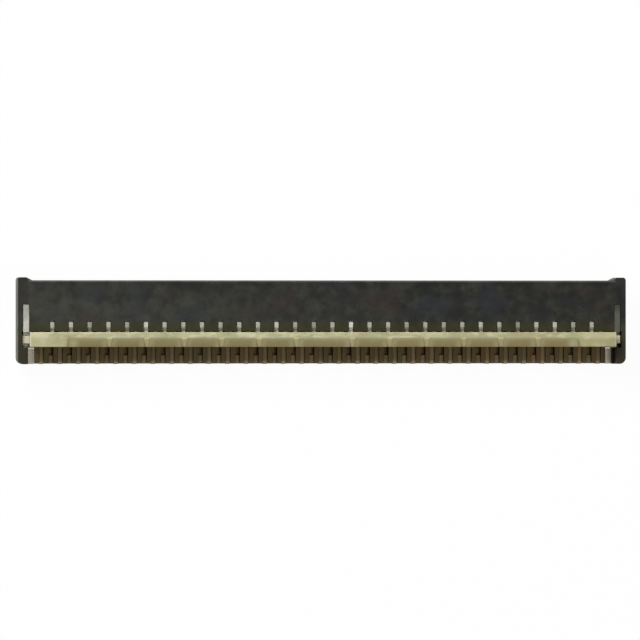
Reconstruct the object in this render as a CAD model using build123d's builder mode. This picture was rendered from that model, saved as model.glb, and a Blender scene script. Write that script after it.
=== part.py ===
from build123d import *
import os

os.makedirs("parts", exist_ok=True)

# Board connector for a flat flexible cable, in millimetres. The seating plane on the board is Z = 0,
# X runs along the row of contacts, and the cable enters from +Y. The lever stands open at rest.

# Row of contacts, alternately with a rear and a front tail
rear_contact_count = 31
contact_pitch = 0.30
contact_thickness = 0.15
contact_side_gap = 0.006

# Moulded housing
housing_depth = 2.775
end_wall = 0.475
floor_height = 0.36
slot_height = 0.30
roof_thickness = 0.29
roof_depth = 1.627
stop_rib_depth = 0.33
floor_skin = 0.10
roof_skin = 0.10
cable_side_gap = 0.03
ear_length = 0.095
ear_slope = 0.19
ear_inset = 0.01
rear_corner_radius = 0.20
front_corner_radius = 0.09
floor_setback = 0.015
lead_in_depth = 0.12
lead_in_rise = 0.08
roof_edge_chamfer = 0.05

# Lever
lever_thickness = 0.47
lever_reach = 0.78
lever_roof_gap = 0.03
lever_floor_gap = 0.02
lever_end_gap = 0.08
lever_shoulder = 0.35
bay_step = 0.08
window_side_gap = 0.025
window_reach = 0.44
cam_length = 0.19
cam_thickness = 0.12
cam_flat = 0.10
cam_gap = 0.018
bevel_depth = 0.29
bevel_drop = 0.27
bevel_end_margin = 1.12
rib_width = 0.08
rib_flare = 0.05
tip_radius = 0.04
journal_radius = 0.13
journal_rise = 0.215
journal_reach = 0.02
journal_end_gap = 0.02

# Contacts
contact_end_gap = 0.03
tail_gap = 0.01
contact_top_gap = 0.01
tail_length = 0.30
base_beam = 0.15
web_width = 0.17
web_inset = 0.06
spring_beam = 0.11
hook_width = 0.09
rear_nose = 0.12
lower_bump_rise = 0.04
upper_bump_drop = 0.06
bump_to_tip = 0.15
rear_tip_setback = 0.22
front_tip_setback = 0.56
pad_length = 0.295
pad_ramp = 0.12
pad_recess = 0.03
rear_beam_recess = 0.06
low_beam = 0.06
rear_block_length = 0.245

# Fitting nails
nail_thickness = 0.20
nail_inner_wall = 0.10
nail_arm_length = 0.86
nail_arm_height = 0.31
nail_step_down = 0.08
nail_web_reach = 0.45
nail_top_recess = 0.02
nail_strip_height = 0.24
nail_foot_length = 0.50
nail_foot_width = 0.19
nail_bend_radius = 0.12
nail_gap = 0.01
grip_gap = 0.015
foot_gap = 0.02

# Places along the row
contact_count = 2 * rear_contact_count - 1
row_half = contact_pitch * (contact_count - 1) / 2
rear_contact_x = [-row_half + 2 * contact_pitch * i for i in range(rear_contact_count)]
front_contact_x = [x + contact_pitch for x in rear_contact_x[:-1]]
channel_width = contact_thickness + 2 * contact_side_gap
slot_half = row_half + contact_pitch + cable_side_gap
half_length = slot_half + end_wall
nail_inner_x = slot_half + nail_inner_wall
nail_outer_x = nail_inner_x + nail_thickness
bay_half = nail_inner_x + bay_step
lever_half = bay_half - lever_end_gap
neck_half = nail_inner_x - lever_end_gap
journal_end_x = nail_outer_x + journal_reach

# Places across the connector
rear_y = -housing_depth / 2
ear_y = housing_depth / 2
roof_front_y = ear_y - ear_length
roof_rear_y = roof_front_y - roof_depth
stop_y = roof_rear_y + stop_rib_depth
floor_rear_y = rear_y + floor_setback
lever_front_y = roof_rear_y - lever_roof_gap
lever_rear_y = lever_front_y - lever_thickness
axis_y = (lever_front_y + lever_rear_y) / 2
web_rear_y = roof_rear_y + web_inset
web_front_y = web_rear_y + web_width

# Heights
slot_top = floor_height + slot_height
housing_height = slot_top + roof_thickness
channel_top = housing_height - roof_skin
axis_z = floor_height + lever_floor_gap + lever_thickness / 2
lever_tip_z = axis_z + lever_reach
shoulder_z = axis_z + lever_shoulder
root_facet = lever_thickness / 2 * 0.5**0.5
cam_corner = (cam_flat**2 + cam_thickness**2) ** 0.5 / 2
cam_radius = max(cam_corner, cam_length / 2)
contact_top = channel_top - contact_top_gap
arm_under = axis_z + cam_radius + cam_gap
cam_seat = axis_z - cam_radius - cam_gap
hook_front_y = axis_y - cam_radius - cam_gap
hook_rear_y = hook_front_y - hook_width
nail_top = housing_height - nail_top_recess
nail_front_y = roof_rear_y + nail_arm_length
nail_web_front_y = roof_rear_y + nail_web_reach
nail_arm_under = nail_top - nail_arm_height
nail_seat_end_y = lever_rear_y + nail_gap
cover_y = lever_rear_y - lever_roof_gap
nail_strip_slot = nail_strip_height + nail_gap
foot_front_y = rear_y + nail_foot_length

# Channels that receive the contacts: a rear one is open at the floor's rear edge, and a front one
# at the cable entry, with a notch through the roof over the contact's raised pad
rear_tail_y = rear_y + tail_length
front_tail_y = roof_front_y - tail_length
rear_tip_y = roof_front_y - rear_tip_setback
front_tip_y = roof_front_y - front_tip_setback
pad_front_y = roof_rear_y + pad_length
notch_front_y = pad_front_y + contact_end_gap
block_rear_y = floor_rear_y + contact_end_gap
block_front_y = block_rear_y + rear_block_length

with BuildPart() as rear_channels:
    with BuildSketch(*[Plane.YZ.offset(x) for x in rear_contact_x]):
        with BuildLine():
            Polyline(
                (rear_y, 0),
                (rear_tail_y + tail_gap, 0),
                (rear_tail_y + tail_gap, floor_skin),
                (rear_tip_y + contact_end_gap, floor_skin),
                (rear_tip_y + contact_end_gap, channel_top),
                (rear_y, channel_top),
                close=True,
            )
        make_face()
    extrude(amount=channel_width / 2, both=True)

with BuildPart() as front_channels:
    with BuildSketch(*[Plane.YZ.offset(x) for x in front_contact_x]):
        with BuildLine():
            Polyline(
                (rear_y, floor_skin),
                (front_tail_y - tail_gap, floor_skin),
                (front_tail_y - tail_gap, 0),
                (ear_y, 0),
                (ear_y, channel_top),
                (notch_front_y, channel_top),
                (notch_front_y, housing_height),
                (rear_y, housing_height),
                close=True,
            )
        make_face()
    extrude(amount=channel_width / 2, both=True)

# Slots in the end walls for the fitting nails, with an opening in the floor for each foot and a
# pocket for the end of the lever's journal
with BuildPart() as nail_slots:
    with BuildSketch(Plane.YZ.offset(nail_inner_x)):
        with BuildLine():
            Polyline(
                (rear_y, 0),
                (nail_front_y, 0),
                (nail_front_y, housing_height),
                (cover_y, housing_height),
                (cover_y, nail_strip_slot),
                (rear_y, nail_strip_slot),
                close=True,
            )
        make_face()
    extrude(amount=nail_thickness + nail_gap)
    with BuildSketch(Plane.YZ.offset(nail_inner_x)):
        with BuildLine():
            Polyline(
                (rear_y, 0),
                (foot_front_y + foot_gap, 0),
                (foot_front_y + foot_gap, floor_height),
                (rear_y, floor_height),
                close=True,
            )
        make_face()
    extrude(amount=-nail_foot_width - foot_gap)
    with BuildSketch(Plane.YZ.offset(nail_inner_x)):
        with BuildLine():
            Polyline(
                (cover_y, axis_z - journal_radius - journal_end_gap),
                (roof_rear_y, axis_z - journal_radius - journal_end_gap),
                (roof_rear_y, housing_height),
                (cover_y, housing_height),
                close=True,
            )
        make_face()
    extrude(amount=journal_end_x + journal_end_gap - nail_inner_x)
    mirror(about=Plane.YZ)

# Housing: one moulding, outlined from above and then hollowed
with BuildPart() as housing:
    with BuildSketch() as outline:
        with BuildLine():
            Polyline(
                (0, floor_rear_y),
                (nail_inner_x, floor_rear_y),
                (nail_inner_x, rear_y),
                (half_length, rear_y),
                (half_length, ear_y),
                (slot_half + ear_inset + ear_slope, ear_y),
                (slot_half + ear_inset, roof_front_y),
                (0, roof_front_y),
            )
            mirror(about=Plane.YZ)
        make_face()
        ends = outline.vertices().group_by(Axis.X)
        outer_corners = (ends[0] + ends[-1]).group_by(Axis.Y)
        fillet(outer_corners[0], rear_corner_radius)
        ends = outline.vertices().group_by(Axis.Y)[-1].sort_by(Axis.X)
        fillet([ends[0], ends[-1]], front_corner_radius)
    extrude(amount=housing_height)
    roof_edge = housing.faces().sort_by(Axis.Z)[-1].edges().filter_by(Axis.X)
    chamfer(roof_edge.sort_by(Axis.Y)[-3], roof_edge_chamfer)
    # the bay in which the lever turns, open to the rear
    with BuildSketch(Plane.YZ):
        with BuildLine():
            Polyline(
                (rear_y, floor_height),
                (roof_rear_y, floor_height),
                (roof_rear_y, housing_height),
                (rear_y, housing_height),
                close=True,
            )
        make_face()
    extrude(amount=bay_half, both=True, mode=Mode.SUBTRACT)
    # the cable slot, flared at its mouth
    with BuildSketch(Plane.YZ):
        with BuildLine():
            Polyline(
                (stop_y, floor_height),
                (roof_front_y - lead_in_depth, floor_height),
                (roof_front_y, floor_height - lead_in_rise),
                (ear_y, floor_height - lead_in_rise),
                (ear_y, slot_top + lead_in_rise),
                (roof_front_y, slot_top + lead_in_rise),
                (roof_front_y - lead_in_depth, slot_top),
                (stop_y, slot_top),
                close=True,
            )
        make_face()
    extrude(amount=slot_half, both=True, mode=Mode.SUBTRACT)
    add(rear_channels.part, mode=Mode.SUBTRACT)
    add(front_channels.part, mode=Mode.SUBTRACT)
    add(nail_slots.part, mode=Mode.SUBTRACT)
housing.part.label = "housing"
export_step(housing.part, "parts/housing.step")

# Finger recesses along the lever's tip: one bevel, parted by a slim rib opposite every other
# front-tail contact. Each rib, and the rest of the bar at both ends, widens away from the edge
recess_half = lever_half - bevel_end_margin
rib_pitch = 4 * contact_pitch
first_rib_x = 3 * contact_pitch
rib_count = int((recess_half - first_rib_x) / rib_pitch)
rib_x = [first_rib_x + rib_pitch * i for i in range(rib_count)]
with BuildPart() as finger_recesses:
    with BuildSketch(Plane.YZ):
        with BuildLine():
            Polyline(
                (lever_rear_y, lever_tip_z - bevel_drop),
                (lever_rear_y, lever_tip_z),
                (lever_rear_y + bevel_depth, lever_tip_z),
                close=True,
            )
        make_face()
    extrude(amount=recess_half, both=True)
    with BuildSketch(Plane.XY.offset(lever_tip_z - bevel_drop)):
        for x in rib_x + [recess_half]:
            with BuildLine():
                Polyline(
                    (x - rib_width / 2, lever_rear_y),
                    (x + rib_width / 2, lever_rear_y),
                    (x + rib_width / 2 + rib_flare, lever_rear_y + bevel_depth),
                    (x - rib_width / 2 - rib_flare, lever_rear_y + bevel_depth),
                    close=True,
                )
            make_face()
        mirror(about=Plane.YZ)
    extrude(amount=bevel_drop, mode=Mode.SUBTRACT)

# Lever: a bar with a root in four facets about the turning axis, a head that is wider than its neck
# between the nails, and a window with a cam bar round each contact
with BuildPart() as lever:
    with BuildSketch(Plane.YZ):
        with BuildLine():
            Polyline(
                (lever_rear_y, axis_z),
                (lever_rear_y, lever_tip_z),
                (lever_front_y, lever_tip_z),
                (lever_front_y, axis_z),
                (axis_y + root_facet, axis_z - root_facet),
                (axis_y, axis_z - lever_thickness / 2),
                (axis_y - root_facet, axis_z - root_facet),
                close=True,
            )
        make_face()
    extrude(amount=neck_half, both=True)
    with BuildSketch(Plane.YZ):
        with BuildLine():
            Polyline(
                (lever_rear_y, shoulder_z),
                (lever_front_y, shoulder_z),
                (lever_front_y, lever_tip_z),
                (lever_rear_y, lever_tip_z),
                close=True,
            )
        make_face()
    extrude(amount=lever_half, both=True)
    tip_edges = lever.edges().filter_by(Axis.X).group_by(Axis.Z)[-1]
    fillet(tip_edges.sort_by(Axis.Y)[-1], tip_radius)
    add(finger_recesses.part, mode=Mode.SUBTRACT)
    with BuildSketch(*[Plane.YZ.offset(x) for x in rear_contact_x + front_contact_x]):
        with BuildLine():
            Polyline(
                (lever_rear_y, floor_height),
                (lever_front_y, floor_height),
                (lever_front_y, axis_z + window_reach),
                (lever_rear_y, axis_z + window_reach),
                close=True,
            )
        make_face()
    extrude(
        amount=contact_thickness / 2 + window_side_gap, both=True, mode=Mode.SUBTRACT
    )
    with BuildSketch(Plane.YZ):
        with BuildLine():
            Polyline(
                (axis_y - cam_length / 2, axis_z),
                (axis_y - cam_flat / 2, axis_z + cam_thickness / 2),
                (axis_y + cam_flat / 2, axis_z + cam_thickness / 2),
                (axis_y + cam_length / 2, axis_z),
                (axis_y + cam_flat / 2, axis_z - cam_thickness / 2),
                (axis_y - cam_flat / 2, axis_z - cam_thickness / 2),
                close=True,
            )
        make_face()
    extrude(amount=row_half + contact_pitch / 2, both=True)
    # the journals: round below, where the nail cradles them, and flat on top
    with BuildSketch(Plane.YZ.offset(-journal_end_x), Plane.YZ.offset(neck_half)):
        with Locations((axis_y, axis_z)):
            Circle(journal_radius)
        with Locations((axis_y, axis_z + journal_rise / 2)):
            Rectangle(2 * journal_radius, journal_rise)
    extrude(amount=journal_end_x - neck_half)
lever.part.label = "lever"
export_step(lever.part, "parts/lever.step")

# Fitting nails: a stamped blade that stands in the end wall, cradles the lever's journal, and is
# folded inwards into a solder foot at the rear
grip_radius = journal_radius + grip_gap
grip_mid = grip_radius * 0.5**0.5
seat_z = axis_z - grip_radius
with BuildPart() as nail_right:
    with BuildSketch(Plane.YZ.offset(nail_inner_x)):
        with BuildLine():
            Polyline(
                (axis_y, seat_z),
                (nail_seat_end_y, seat_z),
                (nail_seat_end_y, nail_strip_height),
                (rear_y, nail_strip_height),
                (rear_y, 0),
                (nail_web_front_y, 0),
                (nail_web_front_y, nail_arm_under),
                (nail_front_y, nail_arm_under),
                (nail_front_y, nail_top),
                (lever_front_y - nail_gap, nail_top),
                (lever_front_y - nail_gap, nail_top - nail_step_down),
                (axis_y + grip_radius, nail_top - nail_step_down),
                (axis_y + grip_radius, axis_z),
            )
            ThreePointArc(
                (axis_y + grip_radius, axis_z),
                (axis_y + grip_mid, axis_z - grip_mid),
                (axis_y, seat_z),
            )
        make_face()
    extrude(amount=nail_thickness)
    with BuildSketch(Plane.YZ.offset(nail_inner_x)):
        with BuildLine():
            Polyline(
                (rear_y, 0),
                (foot_front_y, 0),
                (foot_front_y, nail_thickness),
                (rear_y, nail_thickness),
                close=True,
            )
        make_face()
    extrude(amount=-nail_foot_width)
    bend_edges = nail_right.edges().filter_by(Axis.Y).group_by(Axis.Z)[0]
    fillet(bend_edges.sort_by(Axis.X)[-1], nail_bend_radius)
nail_right.part.label = "nail_right"
export_step(nail_right.part, "parts/nail_right.step")

with BuildPart() as nail_left:
    add(mirror(nail_right.part, about=Plane.YZ, mode=Mode.PRIVATE))
nail_left.part.label = "nail_left"
export_step(nail_left.part, "parts/nail_left.step")

# Rear-tail contacts: an upright web carries two spring beams that pinch the cable, an arm that hooks
# over the lever's cam, and a seat under the cam that runs on to the solder tail
for number, contact_x in enumerate(rear_contact_x, start=1):
    with BuildPart() as rear_contact:
        with BuildSketch(Plane.YZ.offset(contact_x)):
            with BuildLine():
                Polyline(
                    (rear_y, 0),
                    (rear_tail_y, 0),
                    (rear_tail_y, floor_skin),
                    (web_front_y, floor_skin),
                    (rear_tip_y, floor_skin + base_beam / 2),
                    (rear_tip_y, floor_height - lower_bump_rise),
                    (rear_tip_y - bump_to_tip, floor_height + lower_bump_rise),
                    (rear_tip_y - 2 * bump_to_tip, floor_height - lower_bump_rise),
                    (web_front_y, floor_skin + base_beam),
                    (web_front_y, contact_top - spring_beam),
                    (rear_tip_y - 2 * bump_to_tip, contact_top - spring_beam),
                    (rear_tip_y - bump_to_tip, slot_top - upper_bump_drop),
                    (rear_tip_y, contact_top - spring_beam),
                    (rear_tip_y, contact_top),
                    (hook_rear_y, contact_top),
                    (hook_rear_y, axis_z),
                    (hook_front_y, axis_z),
                    (hook_front_y, arm_under),
                    (web_rear_y, arm_under),
                    (web_rear_y, cam_seat),
                    (hook_front_y, cam_seat),
                    (hook_rear_y, floor_height - rear_beam_recess),
                    (rear_y + rear_nose, floor_height - rear_beam_recess),
                    (rear_y, floor_skin + rear_beam_recess),
                    close=True,
                )
            make_face()
        extrude(amount=contact_thickness / 2, both=True)
    rear_contact.part.label = f"rear_contact_{number:02d}"
    export_step(rear_contact.part, f"parts/rear_contact_{number:02d}.step")

# Front-tail contacts: the same mechanism turned round, with the solder tail under the cable entry
# and a raised pad in the roof's notch. Neighbours are kept in pairs
for number in range(1, rear_contact_count // 2 + 1):
    pair_x = front_contact_x[2 * number - 2 : 2 * number]
    with BuildPart() as front_contacts:
        with BuildSketch(*[Plane.YZ.offset(x) for x in pair_x]):
            with BuildLine():
                Polyline(
                    (block_rear_y, floor_skin),
                    (front_tail_y, floor_skin),
                    (front_tail_y, 0),
                    (roof_front_y, 0),
                    (roof_front_y, floor_skin + base_beam),
                    (front_tip_y, floor_skin + base_beam),
                    (front_tip_y - bump_to_tip, floor_height + lower_bump_rise),
                    (front_tip_y - 2 * bump_to_tip, floor_skin + base_beam),
                    (web_front_y, floor_skin + base_beam),
                    (web_front_y, contact_top - spring_beam),
                    (front_tip_y - 2 * bump_to_tip, contact_top - spring_beam),
                    (front_tip_y - bump_to_tip, slot_top - upper_bump_drop),
                    (front_tip_y, contact_top - spring_beam),
                    (front_tip_y, contact_top),
                    (pad_front_y, contact_top),
                    (pad_front_y, housing_height - pad_recess),
                    (roof_rear_y + pad_ramp, housing_height - pad_recess),
                    (roof_rear_y, contact_top),
                    (hook_rear_y, contact_top),
                    (hook_rear_y, axis_z),
                    (hook_front_y, axis_z),
                    (hook_front_y, arm_under),
                    (web_rear_y, arm_under),
                    (web_rear_y, cam_seat),
                    (hook_front_y, cam_seat),
                    (hook_rear_y, floor_skin + low_beam),
                    (block_front_y, floor_skin + low_beam),
                    (block_front_y, floor_height - rear_beam_recess),
                    (block_rear_y, floor_height - rear_beam_recess),
                    close=True,
                )
            make_face()
        extrude(amount=contact_thickness / 2, both=True)
    front_contacts.part.label = f"front_contact_pair_{number:02d}"
    export_step(front_contacts.part, f"parts/front_contact_pair_{number:02d}.step")
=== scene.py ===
import math

import bpy
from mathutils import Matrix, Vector


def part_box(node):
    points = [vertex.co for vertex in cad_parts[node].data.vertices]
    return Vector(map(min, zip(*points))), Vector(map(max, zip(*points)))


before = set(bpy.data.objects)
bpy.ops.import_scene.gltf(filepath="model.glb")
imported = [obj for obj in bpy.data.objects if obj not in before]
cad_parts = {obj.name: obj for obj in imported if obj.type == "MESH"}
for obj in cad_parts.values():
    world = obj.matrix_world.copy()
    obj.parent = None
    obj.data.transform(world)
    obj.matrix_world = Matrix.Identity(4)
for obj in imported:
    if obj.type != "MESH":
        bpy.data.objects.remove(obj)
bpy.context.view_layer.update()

# Bench: the connector lies on a pale sheet under two studio lamps, seen from straight above and a
# little from the left. The sheet shows white to the camera and in polish, and keeps the shadow.
mm = 0.001
bench_half = 0.4
bench_drop = 0.02 * mm
corners = [(-1, -1), (1, -1), (1, 1), (-1, 1)]
bench_places = [(bench_half * x, bench_half * y, -bench_drop) for x, y in corners]
bench_mesh = bpy.data.meshes.new("bench")
bench_mesh.from_pydata(bench_places, [], [(0, 1, 2, 3)])
bench = bpy.data.objects.new("bench", bench_mesh)
bpy.context.scene.collection.objects.link(bench)


class Field:
    """A number that changes over a surface. Arithmetic on it adds Math nodes to its finish."""

    def __init__(self, finish, socket):
        self.finish = finish
        self.socket = socket

    def __add__(self, other):
        return self.finish.math("ADD", self, other)

    __radd__ = __add__

    def __sub__(self, other):
        return self.finish.math("SUBTRACT", self, other)

    def __rsub__(self, other):
        return self.finish.math("SUBTRACT", other, self)

    def __mul__(self, other):
        return self.finish.math("MULTIPLY", self, other)

    __rmul__ = __mul__

    def __abs__(self):
        return self.finish.math("ABSOLUTE", self)

    def rise(self, low, high):
        """0 up to low, 1 from high on, and a smooth ramp between. It falls where low is over high."""
        settings = {"interpolation_type": "SMOOTHSTEP"}
        sockets = {"Value": self, "From Min": low, "From Max": high}
        made = self.finish.node("ShaderNodeMapRange", settings, sockets)
        return Field(self.finish, made.outputs["Result"])


class Finish:
    """One material in the making. Its places are in millimetres, as the piece was drawn."""

    def __init__(self, name):
        self.material = bpy.data.materials.new(name)
        self.material.use_nodes = True
        self.tree = self.material.node_tree
        self.tree.nodes.clear()
        self.output = self.node("ShaderNodeOutputMaterial")
        place = self.node("ShaderNodeTexCoord").outputs["Object"]
        scaled = self.node("ShaderNodeVectorMath", {"operation": "SCALE"}, {"Vector": place, "Scale": 1 / mm})
        self.place = scaled.outputs["Vector"]
        split = self.node("ShaderNodeSeparateXYZ", {}, {"Vector": self.place})
        self.x, self.y, self.z = [Field(self, socket) for socket in split.outputs]

    def node(self, kind, settings=None, sockets=None):
        """Adds a node, with its settings first and then the value or link of each socket."""
        made = self.tree.nodes.new(kind)
        for name, value in (settings or {}).items():
            setattr(made, name, value)
        for name, value in (sockets or {}).items():
            if isinstance(value, Field):
                value = value.socket
            if isinstance(value, bpy.types.NodeSocket):
                self.tree.links.new(value, made.inputs[name])
            else:
                made.inputs[name].default_value = value
        return made

    def math(self, operation, *terms):
        made = self.node("ShaderNodeMath", {"operation": operation}, dict(enumerate(terms)))
        return Field(self, made.outputs[0])

    def noise(self, per_mm, detail, stretch=(1, 1, 1)):
        """Cloudy variation from 0 to 1, with about per_mm spots in a millimetre."""
        drawn = self.node("ShaderNodeVectorMath", {"operation": "MULTIPLY"}, {0: self.place, 1: stretch})
        sockets = {"Vector": drawn.outputs[0], "Scale": per_mm, "Detail": detail, "Roughness": 0.6}
        return Field(self, self.node("ShaderNodeTexNoise", {}, sockets).outputs[0])

    def blend(self, share, first, second):
        """The first colour where share is 0 and the second where it is 1."""
        share_socket, first_socket, second_socket, colour_output = 0, 6, 7, 2
        sockets = {share_socket: share, first_socket: first, second_socket: second}
        return self.node("ShaderNodeMix", {"data_type": "RGBA"}, sockets).outputs[colour_output]

    def surface(self, sockets, grain, grain_depth):
        """The principled surface with its grain as a bump, grain_depth in millimetres."""
        bump = {"Height": grain, "Strength": 0.6, "Distance": grain_depth * mm}
        normal = self.node("ShaderNodeBump", {}, bump).outputs["Normal"]
        shader = self.node("ShaderNodeBsdfPrincipled", {}, {**sockets, "Normal": normal})
        self.tree.links.new(shader.outputs[0], self.output.inputs[0])
        return self.material


def tone(red, green, blue):
    """A colour as it looks on a screen, 0 to 255, turned into light by the screen's standard curve."""
    parts = [v / 255 for v in (red, green, blue)]
    return [v / 12.92 if v < 0.04045 else ((v + 0.055) / 1.055) ** 2.4 for v in parts] + [1.0]


white = (1, 1, 1, 1)
paper_white = tone(244, 244, 243)
white_share = 0.96
sheet = Finish("bench_sheet")
rays = sheet.node("ShaderNodeLightPath").outputs
seen = sheet.math("MAXIMUM", rays["Is Camera Ray"], rays["Is Glossy Ray"])
seen = sheet.math("MAXIMUM", seen, rays["Is Transmission Ray"])
paper = sheet.node("ShaderNodeBsdfDiffuse", {}, {"Color": paper_white}).outputs[0]
glow = sheet.node("ShaderNodeEmission", {}, {"Color": white, "Strength": 1.0}).outputs[0]
mixed = sheet.node("ShaderNodeMixShader", {}, {0: seen * white_share, 1: paper, 2: glow}).outputs[0]
sheet.tree.links.new(mixed, sheet.output.inputs[0])
bench_mesh.materials.append(sheet.material)

world_strength = 0.25
world = bpy.data.worlds.new("studio")
world.use_nodes = True
world_light = world.node_tree.nodes["Background"].inputs
world_light["Color"].default_value = white
world_light["Strength"].default_value = world_strength
bpy.context.scene.world = world


def lamp(name, place, size, watts):
    """A square lamp facing the connector, its place and size in metres."""
    light = bpy.data.lights.new(name, "AREA")
    light.size = size
    light.energy = watts
    made = bpy.data.objects.new(name, light)
    made.location = place
    made.rotation_euler = (-Vector(place)).to_track_quat("-Z", "Y").to_euler()
    bpy.context.scene.collection.objects.link(made)


lamp("key_lamp", place=(-0.11, 0.15, 0.17), size=0.12, watts=0.6)
lamp("fill_lamp", place=(0.2, -0.12, 0.3), size=0.3, watts=0.34)

camera_lean = math.radians(6.5)
camera_distance = 0.2283
camera_aim = Vector((-0.05 * mm, 0.0235 * mm, 0.475 * mm))
camera_data = bpy.data.cameras.new("camera")
camera_data.lens = 400
camera_data.clip_start = 0.005
camera_data.clip_end = 5
camera = bpy.data.objects.new("camera", camera_data)
camera.rotation_euler = (0, -camera_lean, 0)
camera.location = camera_aim + camera_distance * Vector((-math.sin(camera_lean), 0, math.cos(camera_lean)))
bpy.context.scene.collection.objects.link(camera)
bpy.context.scene.camera = camera
bpy.context.scene.view_settings.view_transform = "Standard"

# Housing: one injection moulding of black liquid crystal polymer, matt, with cloudy flow marks and the
# fine grain of the eroded mould. A painted highlight runs along the roof's front edge and a painted
# reflection lightens the left face. An amber tint painted in the bay and an olive tint painted on the
# roof beside the lever stand for the lever's reflected light; the end walls are dark brown at the rear.

# From here on, every length and place is in millimetres.
housing_low, housing_high = [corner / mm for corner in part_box("housing")]
lever_low, lever_high = [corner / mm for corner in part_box("lever")]
housing_rounding = 0.018
housing_grain = 0.006
entry_start, entry_full = 0.5, 1.25
wall_reach, wall_full = 0.4, 0.3
ear_reach = 0.095
roof_underside, roof_top = 0.5, 0.9
reflection_reach = 0.5
bay_tint_low, bay_tint_full = 0.02, 0.12
corner_start, corner_full = -0.3, -0.9
highlight_reach, highlight_full, highlight_depth = 0.07, 0.03, 0.06
left_face_depth = 0.03


def soften(piece, width, steps=2):
    """Rounds a moulded or stamped piece's edges by width millimetres."""
    piece.modifiers.new("weld", "WELD").merge_threshold = 0.0005 * mm
    flat = piece.modifiers.new("flat", "DECIMATE")
    flat.decimate_type = "DISSOLVE"
    flat.angle_limit = math.radians(1)
    round_edge = piece.modifiers.new("round_edge", "BEVEL")
    round_edge.width = width * mm
    round_edge.segments = steps
    round_edge.limit_method = "ANGLE"
    round_edge.angle_limit = math.radians(25)
    round_edge.harden_normals = True


def dress(node, material):
    """Gives a piece its finish in place of the plain one."""
    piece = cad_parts[node]
    for slot in piece.material_slots:
        slot.material = material
    return piece


black = Finish("black_polymer")
flow = black.noise(0.5, 3.0, (0.5, 1, 1)).rise(0.3, 0.7)
mottle = black.noise(2.2, 4.0)
stain = black.noise(0.9, 2.0, (0.7, 1, 1))
speck = black.noise(9, 4.0)
left_light_side = black.x.rise(housing_high.x, housing_low.x)
entry_side = black.y.rise(entry_start, entry_full)
end_wall = abs(black.x).rise(housing_high.x - wall_reach, housing_high.x - wall_full)

# The resin: painted light makes it paler towards the left, it is darker towards the front edge at the cable
# entry, and it has clouds and tinges.
flow_tones = tone(12, 13, 10), tone(22, 22, 17)
left_light_grey = tone(57, 58, 52)
entry_black = tone(13, 13, 11)
light_mottle, dark_mottle = tone(67, 71, 56), tone(12, 12, 10)
blue_stain, red_stain = tone(35, 39, 46), tone(49, 38, 36)
dust = tone(62, 60, 52)
shade = black.blend(flow, *flow_tones)
shade = black.blend(left_light_side * 0.7, shade, left_light_grey)
shade = black.blend(entry_side * 0.55, shade, entry_black)
shade = black.blend(mottle.rise(0.4, 0.8) * 0.45, shade, light_mottle)
shade = black.blend(mottle.rise(0.55, 0.25) * 0.6, shade, dark_mottle)
shade = black.blend(stain.rise(0.5, 0.7) * 0.5, shade, blue_stain)
shade = black.blend(stain.rise(0.48, 0.3) * 0.55, shade, red_stain)
shade = black.blend(speck.rise(0.5, 0.75) * 0.15, shade, dust)

# Painted reflection of the ivory lever: an amber-olive tint in the bay behind it and a thin olive tint on
# the roof beside it. The end walls are dark brown towards the rear.
on_roof = black.z.rise(roof_underside, roof_top)
beside_lever = on_roof * black.y.rise(lever_high.y + reflection_reach, lever_high.y)
under_roof = black.z.rise(roof_underside, roof_underside - 0.1)
in_bay = black.y.rise(lever_high.y, lever_low.y) * under_roof * black.z.rise(bay_tint_low, bay_tint_full)
rear_corner = end_wall * black.y.rise(corner_start, corner_full)
reflection_patches = black.noise(1.1, 3.0).rise(0.35, 0.65)
amber_reflection, olive_reflection = tone(112, 84, 48), tone(97, 86, 48)
bay_reflection_tint = black.blend(reflection_patches, amber_reflection, olive_reflection)
roof_reflection_tint = tone(54, 53, 17)
corner_brown = tone(43, 38, 24)
wall_black = tone(20, 20, 12)
shade = black.blend(beside_lever * (0.4 + 0.8 * mottle), shade, roof_reflection_tint)
shade = black.blend(in_bay * (1 - end_wall) * 0.9, shade, bay_reflection_tint)
shade = black.blend(rear_corner * 0.7, shade, corner_brown)
# At the left the end walls are darkened, taking back part of the painted light from the left.
shade = black.blend(end_wall * left_light_side * 0.22, shade, wall_black)

# A patchy painted highlight along the roof's front edge between the ears, and a patchy painted
# reflection over the left face.
roof_edge = housing_high.y - ear_reach
highlight_top = black.z.rise(roof_top - highlight_depth, roof_top)
roof_front = black.y.rise(roof_edge - highlight_reach, roof_edge - highlight_full) * highlight_top
left_face = black.x.rise(housing_low.x + left_face_depth, housing_low.x)
edge_highlight_grey = tone(120, 120, 112)
left_face_reflection = tone(128, 128, 118)
shade = black.blend(roof_front * (1 - end_wall) * (0.15 + 0.4 * mottle), shade, edge_highlight_grey)
shade = black.blend(left_face * (0.1 + 0.5 * mottle), shade, left_face_reflection)

black_sockets = {"Base Color": shade, "Roughness": 0.44 + 0.14 * flow, "Specular IOR Level": 0.3}
housing_finish = black.surface(black_sockets, black.noise(26, 3.0), housing_grain)
soften(dress("housing", housing_finish), housing_rounding)

# Lever: one injection moulding of ivory polymer, satin and cloudy, with painted light making it lighter
# at the left end. In the finger recesses painted shade shows as a deeper yellow down the bevel, and
# painted light as paler halos beside the ribs. A painted highlight runs along the tip, painted shade
# darkens the ribs' tops, and painted light makes the journals at the ends pale.
lever_rounding = 0.03
lever_grain = 0.005
crest_reach, crest_full, crest_drop = 0.26, 0.12, 0.1
recess_depth, recess_fade = 0.3, 0.08
recess_end = lever_high.x - 1.34
bevel_shade_start, bevel_shade_full = -0.1, 0.24
low_start, low_full = 0.08, 0.26
rim_height, rim_depth = 0.13, 0.28
block_halo = 0.3
first_rib, rib_step = 0.9, 1.2
rib_half, rib_foot, rib_halo = 0.05, 0.1, 0.32
right_rear_start, right_rear_full = 0.35, 0.2
journal_reach, journal_full = 0.41, 0.37

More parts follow.
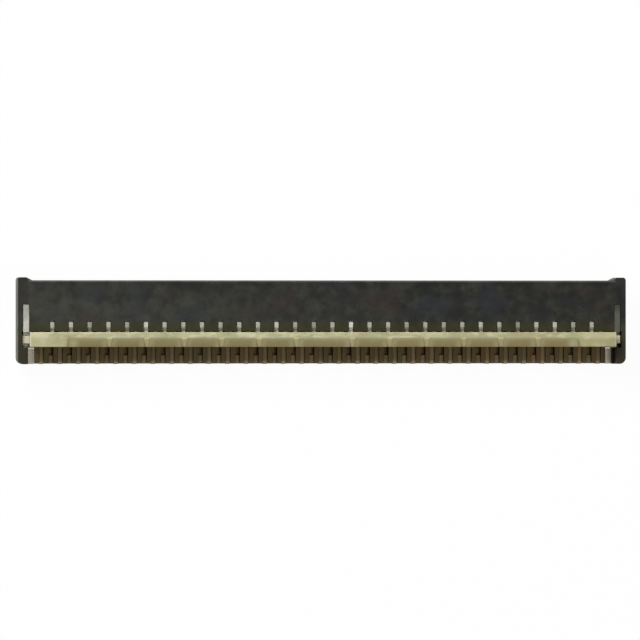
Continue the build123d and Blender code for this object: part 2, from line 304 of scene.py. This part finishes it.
ivory = Finish("ivory_polymer")
cloud = ivory.noise(0.8, 3.0, (0.4, 1, 1))
uneven = ivory.noise(3.2, 4.0, (0.7, 1, 1))
tinge = ivory.noise(1.3, 2.0, (0.8, 1, 1))
crest_glint = ivory.noise(4, 3.0, (0.4, 1, 1)).rise(0.45, 0.65)
left_lit_end = ivory.x.rise(lever_high.x, lever_low.x)
crest_top = ivory.z.rise(lever_high.z - crest_drop, lever_high.z)
crest = ivory.y.rise(lever_high.y - crest_reach, lever_high.y - crest_full) * crest_top

# The resin: clouds and tinges, painted light towards the left end, and a painted highlight along the crest of
# the tip.
cloud_tones = tone(173, 169, 131), tone(155, 149, 108)
left_lit_ivory = tone(188, 186, 151)
light_ivory, dark_ivory = tone(208, 203, 166), tone(138, 130, 88)
green_tinge, pink_tinge = tone(166, 175, 124), tone(182, 164, 128)
crest_highlight = tone(214, 209, 170)
pale = ivory.blend(cloud, *cloud_tones)
pale = ivory.blend(left_lit_end * 0.5, pale, left_lit_ivory)
pale = ivory.blend(uneven.rise(0.5, 0.75) * 0.6, pale, light_ivory)
pale = ivory.blend(uneven.rise(0.5, 0.25) * 0.6, pale, dark_ivory)
pale = ivory.blend(tinge.rise(0.5, 0.7) * 0.5, pale, green_tinge)
pale = ivory.blend(tinge.rise(0.48, 0.3) * 0.5, pale, pink_tinge)
pale = ivory.blend(crest * crest_glint * 0.6, pale, crest_highlight)

# The finger recesses: painted shade as a deeper yellow that grows down the bevel and browns at its
# foot, painted light as paler halos beside the ribs, the rim and the end blocks, painted shade on the
# ribs' tops, and darker towards the rear along the middle.
from_middle = abs(ivory.x)
below_tip = lever_high.z - ivory.z
off_rib = ivory.math("PINGPONG", from_middle - first_rib, rib_step / 2)
behind = ivory.y.rise(lever_low.y + recess_depth, lever_low.y + recess_depth - recess_fade)
in_bevel = below_tip.rise(recess_depth + 0.1, recess_depth)
bevel_shade = below_tip.rise(bevel_shade_start, bevel_shade_full) * in_bevel * behind
recess_side = from_middle.rise(recess_end - block_halo, recess_end)
halo_light = ivory.math("MAXIMUM", off_rib.rise(rib_halo, rib_half), recess_side)
in_recess = from_middle.rise(recess_end - 0.03, recess_end - 0.12)
rim_front = ivory.y.rise(lever_low.y + recess_depth, lever_low.y + rim_depth)
recess_rim = rim_front * below_tip.rise(rim_height, 0)
bevel_foot = bevel_shade * below_tip.rise(low_start, low_full)
rib_top = off_rib.rise(rib_foot, rib_half) * from_middle.rise(recess_end - 0.4, recess_end - 0.6)
rear_middle = behind * from_middle.rise(recess_end + 0.12, recess_end - 0.08) * (1 - bevel_shade)
bevel_shade_yellow, halo_light_ivory = tone(173, 156, 90), tone(228, 220, 172)
foot_shade_brown, rib_shade_brown = tone(140, 120, 70), tone(128, 116, 72)
rear_middle_ivory = tone(134, 124, 80)
ivory_colour = ivory.blend(bevel_shade * 0.75, pale, bevel_shade_yellow)
ivory_colour = ivory.blend((bevel_shade * halo_light * 0.85 + recess_rim * 0.5) * in_recess, ivory_colour, halo_light_ivory)
ivory_colour = ivory.blend(bevel_foot * 0.4, ivory_colour, foot_shade_brown)
ivory_colour = ivory.blend(behind * rib_top * 0.65, ivory_colour, rib_shade_brown)
ivory_colour = ivory.blend(rear_middle * 0.5, ivory_colour, rear_middle_ivory)

# The ends: the right block has a painted highlight on its crest and a deeper yellow rear, and painted light
# makes the journals pale.
right_end = ivory.x.rise(recess_end - 0.1, recess_end + 0.1)
right_rear = right_end * ivory.y.rise(lever_low.y + right_rear_start, lever_low.y + right_rear_full)
journal = from_middle.rise(housing_high.x - journal_reach, housing_high.x - journal_full)
right_crest_highlight, deep_ivory = tone(206, 200, 158), tone(140, 130, 88)
journal_light_ivory = tone(218, 211, 186)
ivory_colour = ivory.blend(right_end * crest * 0.45, ivory_colour, right_crest_highlight)
ivory_colour = ivory.blend(right_rear * 0.25, ivory_colour, deep_ivory)
ivory_colour = ivory.blend(journal * 0.8, ivory_colour, journal_light_ivory)

ivory_sockets = {"Base Color": ivory_colour, "Roughness": 0.42 + 0.15 * cloud}
lever_finish = ivory.surface(ivory_sockets, ivory.noise(22, 3.0), lever_grain)
soften(dress("lever", lever_finish), lever_rounding)

# Contacts: punched from phosphor bronze strip and pushed into the housing's channels. The upper arms
# and tips are plated bright, and dull on the pads' ramps. Low down towards the tails the sheared strip
# keeps its brown bronze, greyer along the rear tails and lightly tinned at their ends.
contact_rounding = 0.012
contact_grain = 0.004
arm_low, arm_high = 0.45, 0.8
ramp_front, ramp_rear = -0.19, -0.24
tail_start = -1.0
tinned_start, tinned_full = -1.28, -1.36

strip = Finish("contact_strip")
dull = strip.noise(6, 3.0)
own = strip.noise(1.7, 1.0, (1, 0.2, 0.2))
high = strip.z.rise(arm_low, arm_high)
tail = strip.y.rise(tail_start, housing_low.y)
ramp = high * strip.y.rise(ramp_front, ramp_rear)
tinned = strip.y.rise(tinned_start, tinned_full)

bronze_tones = tone(126, 108, 72), tone(142, 126, 90)
olive_bronze, red_bronze = tone(98, 84, 46), tone(140, 112, 84)
tail_grey, tail_tin = tone(128, 126, 120), tone(206, 200, 186)
bronze = strip.blend(dull, *bronze_tones)
bronze = strip.blend(own.rise(0.4, 0.7) * 0.6, bronze, olive_bronze)
bronze = strip.blend(own.rise(0.5, 0.3) * 0.5, bronze, red_bronze)
bronze = strip.blend(tail * 0.4, bronze, tail_grey)
bronze = strip.blend(tinned * 0.25, bronze, tail_tin)

plating_tones = tone(208, 206, 192), tone(182, 179, 164)
dull_plating, bright_plating = tone(150, 148, 130), tone(242, 240, 234)
plating = strip.blend(dull, *plating_tones)
plating = strip.blend(own.rise(0.5, 0.3) * 0.7, plating, dull_plating)
plating = strip.blend(own.rise(0.55, 0.75) * 0.7, plating, bright_plating)

strip_colour = strip.blend(high, bronze, plating)
strip_sockets = {"Base Color": strip_colour, "Metallic": 1 - 0.7 * ramp, "Roughness": 0.45 + 0.2 * dull}
contact_finish = strip.surface(strip_sockets, strip.noise(30, 2.0, (1, 0.2, 0.2)), contact_grain)
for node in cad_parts:
    if node.startswith(("rear_contact", "front_contact")):
        soften(dress(node, contact_finish), contact_rounding, steps=1)

# Fitting nails: thicker tinned strip, punched and folded, pressed into both ends of the housing, satin
# with the drag lines of the punch. They are greyer towards the front, and painted shade darkens the
# right one's top, most at its front end. The solder feet are smoother, and flux has left them warm.
nail_rounding = 0.016
nail_grain = 0.004
foot_top, foot_full = 0.5, 0.3
front_start, front_full = -0.1, 0.4
shade_dark_y, shade_pale_y = 0.45, 0.2

tin = Finish("tinned_strip")
bloom = tin.noise(2.2, 3.0)
foot = tin.z.rise(foot_top, foot_full)
front = tin.y.rise(front_start, front_full)
right_top = tin.x.rise(0, 1) * (1 - foot)

tin_tones = tone(222, 220, 212), tone(190, 187, 177)
front_grey = tone(148, 148, 136)
warm_tin = tone(250, 238, 212)
dark_shade, pale_shade = tone(62, 63, 56), tone(86, 87, 78)
right_top_shade = tin.blend(tin.y.rise(shade_dark_y, shade_pale_y), dark_shade, pale_shade)
tin_colour = tin.blend(bloom.rise(0.35, 0.7), *tin_tones)
tin_colour = tin.blend(front * 0.5, tin_colour, front_grey)
tin_colour = tin.blend(right_top * 0.9, tin_colour, right_top_shade)
tin_colour = tin.blend(foot * 0.7, tin_colour, warm_tin)

tin_sockets = {"Base Color": tin_colour, "Metallic": 1.0, "Roughness": 0.45 + 0.2 * bloom - 0.22 * foot}
nail_finish = tin.surface(tin_sockets, tin.noise(24, 2.0, (1, 0.15, 1)), nail_grain)
for node in ("nail_left", "nail_right"):
    soften(dress(node, nail_finish), nail_rounding)
